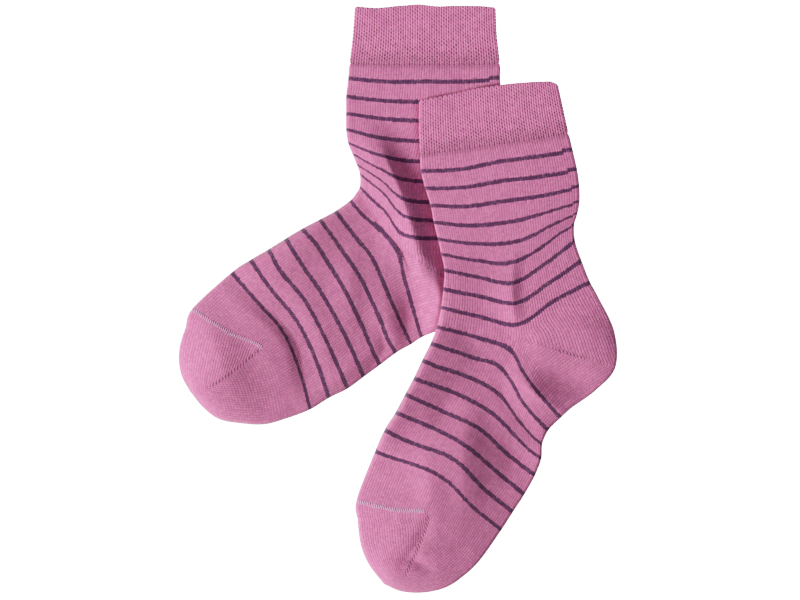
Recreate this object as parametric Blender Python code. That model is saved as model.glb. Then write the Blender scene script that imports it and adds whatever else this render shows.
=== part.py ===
# A pair of child's ankle socks in fine knitted cotton, lying flat, one partly over the other.
# Millimetres in the tables, metres in the meshes. X runs to the right, Y towards the cuffs, Z up,
# and the origin is on the table under the middle of the pair.
#
# Each sock is a flattened tube of knitted wall. A "round" is one knitted course: it crosses the
# upper side from the front edge to the back edge and returns underneath. The side line runs down
# the middle of the leg to the corner of the heel, and on to the corner of the toe.
import math

import bmesh
import bpy
import numpy as np

MM = 0.001
PAIR_MIDDLE = (-0.38, 0.18, 0.0)   # middle of the pair's outline in the tables' own millimetres

WALL = 1.0               # thickness of the knitted wall
SEAM_GAP = 0.3           # between two pieces where they are joined
HEEL_GAP = 0.45          # between the heel pocket and its neighbours, where its rounds fan out
LAYER_GAP = 0.56         # between the lower sock and the upper one lying on it
FLAT_DEPTH = 2.9         # depth of a pressed flat tube: two walls and the slit between them
LEAST_DEPTH = 2.6        # no hollow presses a tube flatter than this
DEPTH_BLEND = 0.35       # softness of that limit
RING_POINTS = 36         # points around a tube, evenly spaced by angle
SHOULDER_SHARE = 0.12    # how much of the loft is left near the edges of a tube
FULLNESS_POWER = 1.85    # how flat the crown of a lofted tube is
TOP_ROLL = 0.55          # reach of the rolled edge on the upper side, as a share of its height
UNDER_ROLL = 1.2         # the same on the underside
EDGE_SHARE = 0.5         # height of the edge line as a share of the flat depth
HEEL_CORNER = 0.03       # share of a round left clear around the corner of the heel
WIDTH_POINTS = 33        # points along which the width of a round is measured
TIP_STOP = 0.25          # last ring of the toe, in rows before the tip
INNER_TIP_STOP = 1.2     # the same for the inside of the toe
BLEND = 0.5              # softness where the lower sock is pressed down by the upper one
PRESS_SLOPE = 0.8        # how fast the lower sock may rise again beside the upper one

# One row for each round: the five places where it crosses the upper side, and the loft there.
# Front edge x, y | quarter x, y | side line x, y | three quarters x, y | back edge x, y | loft
LOWER_TUBE = [
    (-21.0, 138.0, -4.5, 138.0, 12.5, 139.0, 29.5, 138.5, 46.0, 137.5, 3.0),  # cuff, mouth
    (-22.0, 124.5, -4.5, 124.5, 12.5, 125.0, 29.5, 125.0, 46.5, 125.5, 3.2),  # cuff, middle
    (-23.5, 111.5, -5.5, 111.0, 12.5, 111.0, 30.0, 111.0, 48.0, 111.5, 3.2),  # cuff, end
    (-24.0, 104.5, -6.0, 103.0, 12.0, 103.0, 30.0, 103.0, 48.0, 104.0, 3.5),  # leg 1
    (-25.0, 96.0, -7.0, 94.0, 11.5, 93.5, 30.0, 93.5, 49.0, 94.5, 3.5),       # leg 2
    (-25.0, 88.0, -7.5, 85.5, 10.0, 84.5, 29.5, 84.0, 49.5, 85.5, 3.5),       # leg 3
    (-25.0, 80.5, -9.0, 76.5, 7.5, 75.0, 28.5, 75.0, 49.5, 77.0, 3.5),        # leg 4
    (-24.0, 74.0, -10.0, 68.5, 5.5, 65.5, 27.0, 66.0, 48.5, 68.0, 3.3),       # leg 5
    (-22.0, 69.0, -9.5, 62.0, 3.5, 56.5, 25.5, 56.5, 47.5, 59.5, 3.2),        # leg 6
    (-20.0, 64.0, -8.0, 56.0, 3.5, 47.0, 25.0, 47.0, 46.5, 51.0, 3.1),        # leg 7
    (-18.5, 59.5, -7.0, 50.0, 3.0, 39.0, 24.5, 38.0, 45.5, 42.5, 3.1),        # leg 8
    (-18.5, 53.5, -7.5, 42.5, 2.5, 30.5, 24.0, 29.5, 45.5, 33.0, 3.1),        # leg 9
    (-20.5, 50.0, -9.0, 37.0, 1.5, 23.5, 24.0, 22.0, 47.0, 27.0, 3.3),        # heel, above
]
LOWER_HEEL = [
    (-20.5, 50.0, -9.0, 37.0, 1.5, 23.5, 24.0, 22.0, 47.0, 27.0, 3.3),        # heel, above
    (-20.5, 50.0, -9.0, 37.0, 1.5, 23.5, 27.0, 16.0, 50.5, 11.0, 3.9),
    (-20.5, 50.0, -9.0, 37.0, 1.5, 23.5, 24.5, 9.0, 44.0, -3.5, 4.1),
    (-20.5, 50.0, -9.0, 37.0, 1.5, 23.5, 17.5, 6.0, 30.0, -11.5, 4.1),
    (-20.5, 50.0, -9.0, 37.0, 1.5, 23.5, 11.0, 4.5, 16.5, -15.5, 3.7),        # heel, below
]
LOWER_FOOT = [
    (-20.5, 50.0, -9.0, 37.0, 1.5, 23.5, 11.0, 4.5, 16.5, -15.5, 3.7),        # heel, below
    (-23.0, 47.0, -11.0, 34.5, 0.0, 21.5, 5.0, 1.5, 10.5, -18.0, 4.1),        # foot 8
    (-30.0, 42.0, -20.0, 29.0, -10.5, 15.0, -2.5, -3.0, 6.0, -21.0, 5.2),     # foot 7
    (-37.5, 38.0, -27.5, 24.0, -18.0, 10.0, -9.5, -7.5, -1.0, -25.0, 6.3),    # foot 6
    (-46.0, 33.5, -35.0, 19.5, -25.5, 4.5, -17.0, -13.0, -9.0, -31.0, 7.4),   # foot 5
    (-53.5, 29.0, -44.0, 14.0, -34.0, -1.0, -24.5, -18.5, -16.5, -36.5, 8.5), # foot 4
    (-61.5, 24.0, -51.5, 8.5, -41.0, -6.0, -32.0, -24.0, -24.0, -42.0, 9.5),  # foot 3
    (-70.0, 19.0, -59.0, 3.5, -47.5, -11.0, -39.0, -28.5, -33.0, -46.5, 10.1),# foot 2
    (-79.0, 13.0, -66.5, -1.5, -54.5, -15.5, -47.0, -33.5, -42.0, -52.0, 10.8),# foot 1
    (-97.5, -4.0, -81.0, -14.5, -64.0, -22.5, -56.0, -38.5, -52.5, -56.0, 11.5),# toe, seam
    (-101.0, -13.5, -86.0, -20.0, -72.5, -29.5, -66.5, -43.5, -63.5, -59.0, 11.8),
    (-103.5, -21.5, -91.5, -27.5, -81.5, -36.5, -77.0, -47.0, -75.0, -58.5, 11.8),
    (-104.0, -29.5, -96.5, -35.0, -90.0, -41.5, -87.0, -49.0, -85.0, -56.5, 11.0),
    (-102.5, -36.5, -98.5, -39.5, -96.0, -43.5, -94.0, -47.0, -92.5, -51.0, 8.6),
    (-99.0, -43.0, -99.0, -43.0, -99.0, -43.0, -99.0, -43.0, -99.0, -43.0, 3.0),# toe, tip
]
UPPER_TUBE = [
    (9.5, 93.5, 26.5, 96.5, 43.0, 100.0, 60.0, 102.0, 75.5, 101.5, 3.0),      # cuff, mouth
    (9.5, 81.0, 27.0, 83.5, 44.0, 86.0, 61.0, 88.5, 78.0, 90.0, 3.1),         # cuff, middle
    (10.0, 68.0, 28.0, 70.5, 45.5, 73.0, 63.0, 75.5, 80.5, 78.5, 3.1),        # cuff, end
    (10.5, 60.5, 29.0, 61.5, 47.0, 65.0, 65.0, 67.5, 82.5, 70.0, 3.3),        # leg 1
    (12.5, 52.5, 30.5, 53.0, 48.5, 56.0, 66.5, 58.0, 84.5, 61.0, 3.4),        # leg 2
    (15.0, 44.5, 32.0, 44.0, 49.5, 46.5, 67.5, 49.0, 85.5, 53.0, 3.5),        # leg 3
    (16.5, 36.5, 33.5, 35.0, 50.5, 36.5, 68.0, 40.5, 85.5, 46.0, 3.6),        # leg 4
    (18.5, 28.5, 35.0, 26.5, 51.5, 27.0, 68.5, 33.0, 84.5, 40.5, 3.8),        # leg 5
    (20.0, 21.5, 36.5, 18.5, 52.5, 17.5, 68.0, 25.5, 83.0, 35.0, 3.9),        # leg 6
    (21.5, 14.0, 38.0, 10.5, 54.0, 8.0, 69.0, 17.0, 83.5, 27.5, 4.1),         # leg 7
    (21.0, 5.0, 38.5, 1.5, 55.5, -1.5, 71.0, 8.0, 86.5, 18.5, 3.9),           # leg 8
    (20.0, -3.5, 38.5, -8.0, 56.5, -11.5, 73.0, -0.5, 90.5, 8.5, 3.8),        # leg 9
    (19.0, -8.5, 38.0, -13.5, 57.0, -18.0, 75.0, -6.5, 94.0, 2.0, 3.8),       # heel, above
]
UPPER_HEEL = [
    (19.0, -8.5, 38.0, -13.5, 57.0, -18.0, 75.0, -6.5, 94.0, 2.0, 3.8),       # heel, above
    (19.0, -8.5, 38.0, -13.5, 57.0, -18.0, 80.5, -15.0, 102.0, -15.0, 4.3),
    (19.0, -8.5, 38.0, -13.5, 57.0, -18.0, 80.5, -24.5, 102.5, -32.0, 4.6),
    (19.0, -8.5, 38.0, -13.5, 57.0, -18.0, 75.5, -31.5, 93.0, -43.0, 4.3),
    (19.0, -8.5, 38.0, -13.5, 57.0, -18.0, 68.5, -35.5, 82.0, -51.0, 3.9),    # heel, below
]
UPPER_FOOT = [
    (19.0, -8.5, 38.0, -13.5, 57.0, -18.0, 68.5, -35.5, 82.0, -51.0, 3.9),    # heel, below
    (18.0, -13.0, 37.0, -18.0, 54.5, -25.5, 64.0, -41.5, 76.5, -56.0, 4.1),   # foot 8
    (15.0, -20.5, 33.0, -26.5, 50.0, -34.5, 59.0, -49.0, 71.0, -61.5, 4.6),   # foot 7
    (11.0, -28.5, 29.5, -35.0, 46.5, -44.0, 56.5, -56.5, 68.0, -68.0, 5.4),   # foot 6
    (7.0, -37.0, 25.5, -43.5, 42.5, -52.5, 55.0, -63.5, 67.5, -75.0, 6.4),    # foot 5
    (3.0, -44.5, 20.5, -52.5, 37.5, -60.5, 50.5, -72.0, 64.5, -83.0, 7.2),    # foot 4
    (-1.5, -53.0, 16.0, -60.5, 32.5, -69.5, 46.0, -81.0, 59.5, -92.0, 8.1),   # foot 3
    (-6.5, -61.0, 10.5, -69.0, 27.5, -76.5, 40.0, -89.0, 54.0, -100.5, 8.7),  # foot 2
    (-11.0, -71.0, 6.0, -77.0, 22.0, -85.0, 34.5, -97.5, 48.5, -109.0, 9.2),  # foot 1
    (-20.0, -94.5, -2.5, -98.5, 15.0, -100.0, 26.5, -111.5, 39.0, -122.5, 9.6),# toe, seam
    (-19.5, -104.5, -4.0, -107.0, 12.0, -109.5, 22.0, -119.5, 31.5, -130.0, 9.8),
    (-18.5, -113.5, -6.0, -115.0, 6.5, -118.5, 15.0, -127.0, 22.5, -136.0, 9.7),
    (-16.5, -120.5, -7.5, -122.0, 1.0, -126.0, 7.0, -132.0, 12.0, -138.5, 9.1),
    (-13.0, -127.0, -8.0, -128.5, -3.5, -131.5, -1.0, -134.5, 1.5, -138.0, 7.3),
    (-7.0, -134.5, -7.0, -134.5, -7.0, -134.5, -7.0, -134.5, -7.0, -134.5, 3.0),# toe, tip
]
HEEL_CORNERS = [LOWER_HEEL[0][4:6], UPPER_HEEL[0][4:6]]
CORNER_REACH = 1.0       # a side-line point this near is at the corner of the heel
MOUTH, CUFF_END = 0, 2   # row numbers in the tube tables
TOE_SEAM = 9             # row number in the foot tables

# The largest folds, a row each: start x, y | middle x, y | end x, y of the crest, its height
# (less than nothing for a trough), how far it reaches to the left and to the right of its run,
# and how sharp its crest is, from 0, round, to 1.
LOWER_FOLDS = [
    (-7.5, 69.5, 3.5, 43.0, 11.0, 12.0, 7.0, 14.0, 19.0, 0.4),       # ridge across the ankle
    (-20.0, 80.0, -12.0, 66.0, -9.5, 48.0, 3.0, 15.0, 22.0, 0.2),    # raised front edge of the ankle
    (-22.0, 43.5, -43.5, 30.5, -66.5, 15.0, 3.4, 15.0, 12.0, 0.2),   # raised front edge of the foot
    (-7.5, 18.0, -5.5, -5.0, -3.5, -22.0, 1.8, 13.0, 12.0, 0.2),     # brink before the crease
    (5.0, 2.0, 6.5, -13.0, 8.0, -24.0, -1.6, 9.5, 9.5, 0.2),         # crease under the ankle
    (17.0, 15.5, 23.0, 1.0, 20.5, -14.0, 5.4, 10.0, 14.5, 0.3),      # swell of the heel
    (-75.5, 7.0, -50.5, -16.0, -43.5, -41.0, -2.3, 13.0, 7.5, 0.4),  # step where the toe fills
    (-43.0, -47.0, -25.5, -35.5, -12.0, -25.0, 1.6, 9.5, 8.5, 0.2),  # raised edge of the sole
]
UPPER_FOLDS = [
    (57.0, -36.0, 64.5, -44.5, 77.5, -52.5, 4.6, 17.0, 14.0, 0.6),   # crest below the heel
    (71.0, -37.5, 82.0, -37.5, 91.0, -44.0, -1.5, 10.5, 10.0, 0.3),  # hollow between crest and heel
    (30.5, -53.0, 30.0, -74.0, 29.5, -97.5, 3.0, 14.0, 25.0, 0.2),   # ridge along the ball of foot
    (21.0, -10.5, 10.0, -31.0, -5.0, -60.0, 4.6, 21.0, 10.0, 0.3),   # raised front edge of the foot
    (5.0, -39.5, -5.0, -57.5, -12.5, -75.0, 2.8, 13.0, 12.0, 0.3),   # and on towards the toe
    (31.0, -12.0, 45.0, -24.5, 27.5, -51.0, -3.0, 23.0, 16.0, 0.1),  # hollow of the instep
    (46.5, -60.0, 53.5, -74.0, 49.5, -89.0, -2.1, 14.0, 15.0, 0.1),  # hollow beside the ball
    (54.5, -45.5, 68.5, -63.0, 66.5, -78.5, 1.7, 10.0, 7.5, 0.5),    # swell of the sole
    (90.0, -6.0, 97.5, -18.0, 97.5, -30.0, 1.1, 7.0, 20.0, 0.2),     # swell of the heel
]

CREST_POINTS = 13        # points along a fold's crest
FOLD_END = 0.4           # height of a fold at its ends, as a share of its height
FOLD_FADE = 2.5          # folds run out over this distance from an edge

# The hidden part of the lower sock, on which the upper one lies: its back and sole, from the top
# down, kept a little outside them, and the swell that its heel gives.
PROP_OUTLINE = [(51.5, 140.0), (54.0, 20.0), (53.0, 2.0), (43.5, -10.5), (12.0, -20.0)]
PROP_FALL = 30.0         # over this distance the upper sock's underside comes down to the table
CROWN_FALL = 75.0        # and its upper side, which stays fuller
PROP_BLEND = 1.2         # roundness of the corners of that outline
SWELL_PLACE = (22.0, 2.0)
SWELL_SIZE = 12.0
SWELL_HEIGHT = 3.8

PIECE_ROWS = {"cuff": 4, "leg": 13, "heel": 8, "foot": 11, "toe": 8}
KNIT_COLOUR = {"cuff": (0.54, 0.17, 0.35), "leg": (0.56, 0.18, 0.36), "heel": (0.60, 0.21, 0.40),
               "foot": (0.52, 0.16, 0.33), "toe": (0.57, 0.19, 0.37)}
KNIT_ROUGHNESS = 0.9


def clear_scene():
    for thing in list(bpy.data.objects):
        bpy.data.objects.remove(thing, do_unlink=True)


def smooth(knots, at):
    """Catmull-Rom curve through the knots (first axis), at fractional knot numbers."""
    before = 2 * knots[:1] - knots[1:2]
    after = 2 * knots[-1:] - knots[-2:-1]
    padded = np.concatenate([before, knots, after])
    low = np.clip(np.floor(at).astype(int), 0, len(knots) - 2)
    t = (at - low).reshape((-1,) + (1,) * (knots.ndim - 1))
    a, b, c, d = padded[low], padded[low + 1], padded[low + 2], padded[low + 3]
    return b + 0.5 * t * (c - a + t * (2 * a - 5 * b + 4 * c - d + t * (3 * (b - c) + d - a)))


def fold_height(fold, x, y):
    """A ridge: its crest is round or sharp, and it fades sideways and towards both ends."""
    height, reach_left, reach_right, sharpness = fold[6:]
    crest = smooth(np.array(fold[:6]).reshape(3, 2), np.linspace(0, 2, CREST_POINTS))
    run = np.diff(crest, axis=0)
    from_x = x[..., None] - crest[:-1, 0]
    from_y = y[..., None] - crest[:-1, 1]
    part = np.clip((from_x * run[:, 0] + from_y * run[:, 1]) / (run ** 2).sum(axis=1), 0, 1)
    side_x = from_x - part * run[:, 0]
    side_y = from_y - part * run[:, 1]
    distance = np.hypot(side_x, side_y)
    nearest = distance.argmin(axis=-1)[..., None]
    near_x = np.take_along_axis(side_x, nearest, -1)[..., 0]
    near_y = np.take_along_axis(side_y, nearest, -1)[..., 0]
    near = np.take_along_axis(distance, nearest, -1)[..., 0]
    part = np.take_along_axis(part, nearest, -1)[..., 0]
    nearest = nearest[..., 0]
    along = run / np.linalg.norm(run, axis=1, keepdims=True)
    leftness = (along[nearest, 0] * near_y - along[nearest, 1] * near_x) / np.maximum(near, 1e-6)
    reach = (reach_left + reach_right) / 2 + leftness * (reach_left - reach_right) / 2
    aside = np.minimum(near / reach, 1)
    across = (1 - aside) ** 2 * (1 + 2 * aside * (1 - sharpness))
    lengthwise = FOLD_END + (1 - FOLD_END) * np.sin(np.pi * (nearest + part) / len(run))
    return height * across * lengthwise


def prop_share(x, y, fall=PROP_FALL):
    """1 over the hidden part of the lower sock, easing to 0 at that distance outside it."""
    corners = np.array(PROP_OUTLINE)
    total = np.zeros_like(x)
    for start, end in zip(corners[:-1], corners[1:]):
        step = (end - start) / np.linalg.norm(end - start)
        outside = (y - start[1]) * step[0] - (x - start[0]) * step[1]
        total += np.exp(outside / PROP_BLEND)
    outside = np.clip(PROP_BLEND * np.log(total) / fall, 0, 1)
    return 0.5 + 0.5 * np.cos(np.pi * outside)


def prop_height(x, y, fall=PROP_FALL):
    """Height of the face along which the two socks lie on each other."""
    away = (x - SWELL_PLACE[0]) ** 2 + (y - SWELL_PLACE[1]) ** 2
    swell = SWELL_HEIGHT * np.exp(-away / (2 * SWELL_SIZE ** 2))
    return (FLAT_DEPTH + LAYER_GAP / 2 + swell) * prop_share(x, y, fall)


def beside_upper_sock(x, y):
    """Distance of a point outside the upper sock's front edge and mouth, 0 under it."""
    rows = np.array(UPPER_TUBE + UPPER_FOOT[1:])
    front = rows[:, :2]
    left_of_it = np.interp(-y, -front[:, 1], front[:, 0]) - x
    mouth = rows[0, :10].reshape(5, 2)
    above_it = y - np.interp(x, mouth[:, 0], mouth[:, 1])
    return np.maximum(np.maximum(left_of_it, above_it), 0)


def top_of_lower(x, y, own_height):
    """The lower sock's own height, pressed down where the upper one lies on it."""
    limit = prop_height(x, y) - LAYER_GAP / 2 + PRESS_SLOPE * beside_upper_sock(x, y)
    return -BLEND * np.logaddexp(-own_height / BLEND, -limit / BLEND)


def lower_faces(x, y, depth):
    return np.zeros_like(x), top_of_lower(x, y, depth)


def upper_faces(x, y, depth):
    underside = prop_height(x, y) + LAYER_GAP / 2 * prop_share(x, y)
    return underside, prop_height(x, y, CROWN_FALL) + LAYER_GAP / 2 + depth


def cornering(rows, at):
    """1 for rounds that turn sharply at the heel corner, easing to 0 one row away from them."""
    corners = np.array(rows)[:, 4:6]
    near_heel = [np.hypot(*(corners - heel).T) < CORNER_REACH for heel in HEEL_CORNERS]
    sharp = np.flatnonzero(near_heel[0] | near_heel[1])
    away = np.abs(np.subtract.outer(at, sharp)).min(axis=1)
    near = 1 - np.clip(away, 0, 1)
    return near * near * (3 - 2 * near)


def round_points(rows, at, share):
    """Plan points of the rounds numbered at, at the shares 0 to 1 of their way to the back."""
    knots = np.array(rows)
    crossings = np.swapaxes(smooth(knots[:, :10].reshape(-1, 5, 2), at), 0, 1)
    along = 4 * share
    curve = smooth(crossings, along)
    front_half = smooth(crossings[:3], np.minimum(along, 2))
    back_half = smooth(crossings[2:], np.maximum(along - 2, 0))
    bent = np.where((along < 2)[:, None, None], front_half, back_half)
    sharpness = cornering(rows, at)[:, None]
    plan = np.swapaxes(curve + (bent - curve) * sharpness, 0, 1)
    fine = smooth(crossings, np.linspace(0, 4, WIDTH_POINTS))
    width = np.linalg.norm(np.diff(fine, axis=0), axis=2).sum(axis=0)[:, None]
    loft = smooth(knots[:, 10], at)[:, None]
    return plan, width, loft


def roll(distance, reach):
    """Quarter round: 0 at the edge of the tube, 1 from reach inwards."""
    inwards = np.clip(distance / reach, 0, 1)
    return np.sqrt(1 - (1 - inwards) ** 2)


def wall_face(sock, rows, at, angles, inset):
    """One face of the wall: inset 0 is the outside of the sock, WALL is its inside."""
    share = (1 - np.cos(angles)) / 2
    plan, width, loft = round_points(rows, at, share)
    from_edge = np.minimum(share, 1 - share) * width
    pull = inset / np.maximum(width, 2 * inset + 1)
    inner_share = share + pull * (1 - 2 * share)
    if inset:
        moved = [round_points(rows, at[i:i + 1], inner_share[i])[0][0] for i in range(len(at))]
        plan = np.array(moved)
    x, y = plan[..., 0], plan[..., 1]
    shoulder = FLAT_DEPTH + SHOULDER_SHARE * (loft - FLAT_DEPTH)
    crown = 1 - np.abs(2 * share - 1) ** FULLNESS_POWER
    depth = shoulder + (loft - shoulder) * crown
    for fold in sock["folds"]:
        depth = depth + fold_height(fold, x, y) * roll(from_edge, FOLD_FADE)
    depth = LEAST_DEPTH + DEPTH_BLEND * np.logaddexp(0, (depth - LEAST_DEPTH) / DEPTH_BLEND)
    underside, top = sock["faces"](x, y, depth)
    edge = underside + EDGE_SHARE * FLAT_DEPTH
    upper = edge + (top - inset - edge) * roll(from_edge, TOP_ROLL * shoulder)
    lower = edge - (edge - underside - inset) * roll(from_edge, UNDER_ROLL * EDGE_SHARE * FLAT_DEPTH)
    over = np.sin(angles) > 0
    return np.stack([x, y, np.where(over, upper, lower)], axis=-1)


def add_piece(sock, part, vertices, faces):
    name = sock["name"] + "_" + part
    mesh = bpy.data.meshes.new(name)
    mesh.from_pydata(((vertices - PAIR_MIDDLE) * MM).tolist(), [], faces)
    shape = bmesh.new()
    shape.from_mesh(mesh)
    bmesh.ops.recalc_face_normals(shape, faces=shape.faces)
    bmesh.ops.triangulate(shape, faces=shape.faces)
    shape.to_mesh(mesh)
    shape.free()
    mesh.shade_smooth()
    mesh.set_sharp_from_angle(angle=math.radians(50))
    material = bpy.data.materials.new(name + "_knit")
    material.use_nodes = True
    shader = material.node_tree.nodes["Principled BSDF"]
    shader.inputs["Base Color"].default_value = (*KNIT_COLOUR[part], 1)
    shader.inputs["Roughness"].default_value = KNIT_ROUGHNESS
    mesh.materials.append(material)
    piece = bpy.data.objects.new(name, mesh)
    bpy.context.scene.collection.objects.link(piece)


def strip(first, second, closed):
    """Quads between two lines of vertex numbers."""
    count = len(first)
    steps = range(count if closed else count - 1)
    return [(first[i], first[(i + 1) % count], second[(i + 1) % count], second[i]) for i in steps]


def skin(grid, closed):
    """Quads over a grid of vertex numbers."""
    faces = []
    for first, second in zip(grid[:-1], grid[1:]):
        faces += strip(first, second, closed)
    return faces


def build_tube(sock, part, rows, first, last, tip=False):
    """A stretch of tube with both faces of its wall, open at its ends or closed at the tip."""
    angles = np.arange(RING_POINTS) * 2 * np.pi / RING_POINTS
    count = PIECE_ROWS[part]
    outer_at = np.linspace(first, last, count)
    inner_at = outer_at.copy()
    if tip:
        outer_at = np.linspace(first, last - TIP_STOP, count)
        inner_at = np.linspace(first, last - INNER_TIP_STOP, count)
    outer = wall_face(sock, rows, outer_at, angles, 0)
    inner = wall_face(sock, rows, inner_at, angles, WALL)
    outer_ids = np.arange(count * RING_POINTS).reshape(count, RING_POINTS).tolist()
    inner_ids = (np.array(outer_ids) + count * RING_POINTS).tolist()
    vertices = np.concatenate([outer.reshape(-1, 3), inner.reshape(-1, 3)])
    faces = skin(outer_ids, True) + skin(inner_ids[::-1], True)
    faces += strip(inner_ids[0], outer_ids[0], True)
    if tip:
        outer_tip = wall_face(sock, rows, np.array([last]), angles, 0).mean(axis=(0, 1))
        inner_tip = inner[-1].mean(axis=0)
        vertices = np.concatenate([vertices, [outer_tip, inner_tip]])
        poles = [len(vertices) - 2, len(vertices) - 1]
        for ring, pole in zip([outer_ids[-1], inner_ids[-1][::-1]], poles):
            faces += [(ring[i], ring[(i + 1) % RING_POINTS], pole) for i in range(RING_POINTS)]
    else:
        faces += strip(outer_ids[-1], inner_ids[-1], True)
    add_piece(sock, part, vertices, faces)


def build_heel(sock, rows):
    """The heel pocket: half rounds that fan about the heel corner, edged by wall all round."""
    rows = np.array(rows)
    inwards = rows[:, 8:10].mean(axis=0) - rows[0, 4:6]
    rows[:, 4:6] += HEEL_GAP * inwards / np.linalg.norm(inwards)
    start = math.acos(-2 * HEEL_CORNER)
    angles = np.linspace(start, 2 * math.pi - start, RING_POINTS // 2 + 1)
    outline = np.linalg.norm(np.diff(rows[:, 8:10], axis=0), axis=1).sum()
    clear = HEEL_GAP / outline * (len(rows) - 1)
    at = np.linspace(clear, len(rows) - 1 - clear, PIECE_ROWS["heel"])
    outer = wall_face(sock, rows, at, angles, 0)
    inner = wall_face(sock, rows, at, angles, WALL)
    count = len(at) * len(angles)
    outer_ids = np.arange(count).reshape(len(at), len(angles)).tolist()
    inner_ids = (np.array(outer_ids) + count).tolist()
    faces = skin(outer_ids, False) + skin(inner_ids[::-1], False)
    faces += strip(inner_ids[0], outer_ids[0], False)
    faces += strip(outer_ids[-1], inner_ids[-1], False)
    for side in (0, -1):
        outer_line = [row[side] for row in outer_ids]
        inner_line = [row[side] for row in inner_ids]
        pair = (outer_line, inner_line) if side == 0 else (inner_line, outer_line)
        faces += strip(*pair, False)
    vertices = np.concatenate([outer.reshape(-1, 3), inner.reshape(-1, 3)])
    add_piece(sock, "heel", vertices, faces)


def row_step(rows, row, gap):
    """The share of a row that moves a ring by gap, taken where the rows lie closest."""
    knots = np.array(rows)[:, :10].reshape(-1, 5, 2)
    return gap / np.linalg.norm(knots[row + 1] - knots[row], axis=1).min()


def build_sock(sock):
    tube, foot = sock["tube"], sock["foot"]
    heel_row = len(tube) - 1
    half_gap = SEAM_GAP / 2
    cuff_step = row_step(tube, CUFF_END, half_gap)
    leg_step = row_step(tube, heel_row - 1, half_gap)
    foot_step = row_step(foot, 0, half_gap)
    toe_step = row_step(foot, TOE_SEAM, half_gap)
    build_tube(sock, "cuff", tube, MOUTH, CUFF_END - cuff_step)
    build_tube(sock, "leg", tube, CUFF_END + cuff_step, heel_row - leg_step)
    build_heel(sock, sock["heel"])
    build_tube(sock, "foot", foot, foot_step, TOE_SEAM - toe_step)
    build_tube(sock, "toe", foot, TOE_SEAM + toe_step, len(foot) - 1, tip=True)


clear_scene()
build_sock({"name": "lower_sock", "tube": LOWER_TUBE, "heel": LOWER_HEEL, "foot": LOWER_FOOT,
            "folds": LOWER_FOLDS, "faces": lower_faces})
build_sock({"name": "upper_sock", "tube": UPPER_TUBE, "heel": UPPER_HEEL, "foot": UPPER_FOOT,
            "folds": UPPER_FOLDS, "faces": upper_faces})
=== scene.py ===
import math

import bpy
import numpy as np
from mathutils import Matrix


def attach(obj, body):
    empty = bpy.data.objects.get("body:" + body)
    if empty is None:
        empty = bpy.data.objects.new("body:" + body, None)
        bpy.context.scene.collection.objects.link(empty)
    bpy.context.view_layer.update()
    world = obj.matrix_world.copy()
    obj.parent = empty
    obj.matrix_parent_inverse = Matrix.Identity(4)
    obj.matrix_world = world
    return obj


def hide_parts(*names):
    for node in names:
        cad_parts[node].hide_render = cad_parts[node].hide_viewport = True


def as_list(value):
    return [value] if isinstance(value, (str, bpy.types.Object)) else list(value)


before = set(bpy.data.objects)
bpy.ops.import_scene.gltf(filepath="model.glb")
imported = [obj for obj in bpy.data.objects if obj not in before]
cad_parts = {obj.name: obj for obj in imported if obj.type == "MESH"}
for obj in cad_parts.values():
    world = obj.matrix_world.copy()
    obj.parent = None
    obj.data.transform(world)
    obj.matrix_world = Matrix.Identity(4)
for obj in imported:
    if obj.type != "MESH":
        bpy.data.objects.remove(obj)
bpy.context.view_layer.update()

# A pair of child's ankle socks in fine knitted cotton, lying flat, one partly over the other.
# Tables are in millimetres and meshes in metres. X runs to the right, Y towards the cuffs.
# A round is one knitted course: it crosses the upper side from the front edge to the back edge
# and returns underneath. The side line runs down the leg to the corner of the heel and on to the
# corner of the toe. "Row" is the number of a round in the tables, whole at each coloured stripe.

mm = 0.001

fabric = dict(
    pairMiddle=(-0.38, 0.18, 0.0),  # middle of the pair in the tables' own millimetres
    wall=1.0,  # thickness of the knitted wall
    layerGap=0.56,  # between the lower sock and the upper one lying on it
    flatDepth=2.9,  # depth of a pressed flat tube
    leastDepth=2.6, depthBlend=0.35,  # no hollow presses a tube flatter than this
    shoulderShare=0.12,  # loft left near the edges of a tube
    fullness=1.85,  # how flat the crown of a lofted tube is
    topRoll=0.38, underRoll=1.2,  # reach of the rolled edges, as shares of their heights
    edgeShare=0.5,  # height of the edge line as a share of the flat depth
    blend=0.5, pressSlope=0.8,  # how the lower sock is pressed down by the upper one
    foldEnd=0.4, crestPoints=13,  # height of a fold at its ends, points along its crest
    foldFade=2.5,  # folds run out over this distance from an edge
    needles=120,  # stitches in a round
    waleWidth=1.18, courseLength=0.93,
    stripeEvery=10,  # courses from one coloured stripe to the next
    heelRow=12, heelRows=4,  # the heel pocket fans out between these rows
    toeRow=25, tipRow=30,
    # pairs of a row and its course number
    courses=[(2, -8), (3, 0), (11, 80), (12, 87), (16, 87), (17, 90), (24, 160), (25, 182),
             (30, 222)],
    rowSamples=40, widthSamples=33,  # points that measure a row's length and a round's width
    mouthKnots=21,  # knots of the curve along the mouth
    sharpFrom=75.0,  # edges with a steeper turn than this, in degrees, stay sharp
)

# One row for each round: the five places where it crosses the upper side, and the loft there.
# Front edge x, y | quarter x, y | side line x, y | three quarters x, y | back edge x, y | loft.
# A heel row has only the last two places and the loft, because it starts at the heel corner.
# A fold: start x, y | middle x, y | end x, y of its crest, height, reach to the left and to the
# right of its run, and how sharp its crest is, from 0, round, to 1.
# The mouth of the cuff stands out by the second number at that share of its way to the back.
# A drift: x, y, reach, and how far the stripes there have slipped towards the cuff.
# The toe's gore line bends by goreBend times the square of the way along it. Its seam runs to
# the share seamEnd of the way to the back, and each end of a stitch slants by seamSlant of it.

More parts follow.
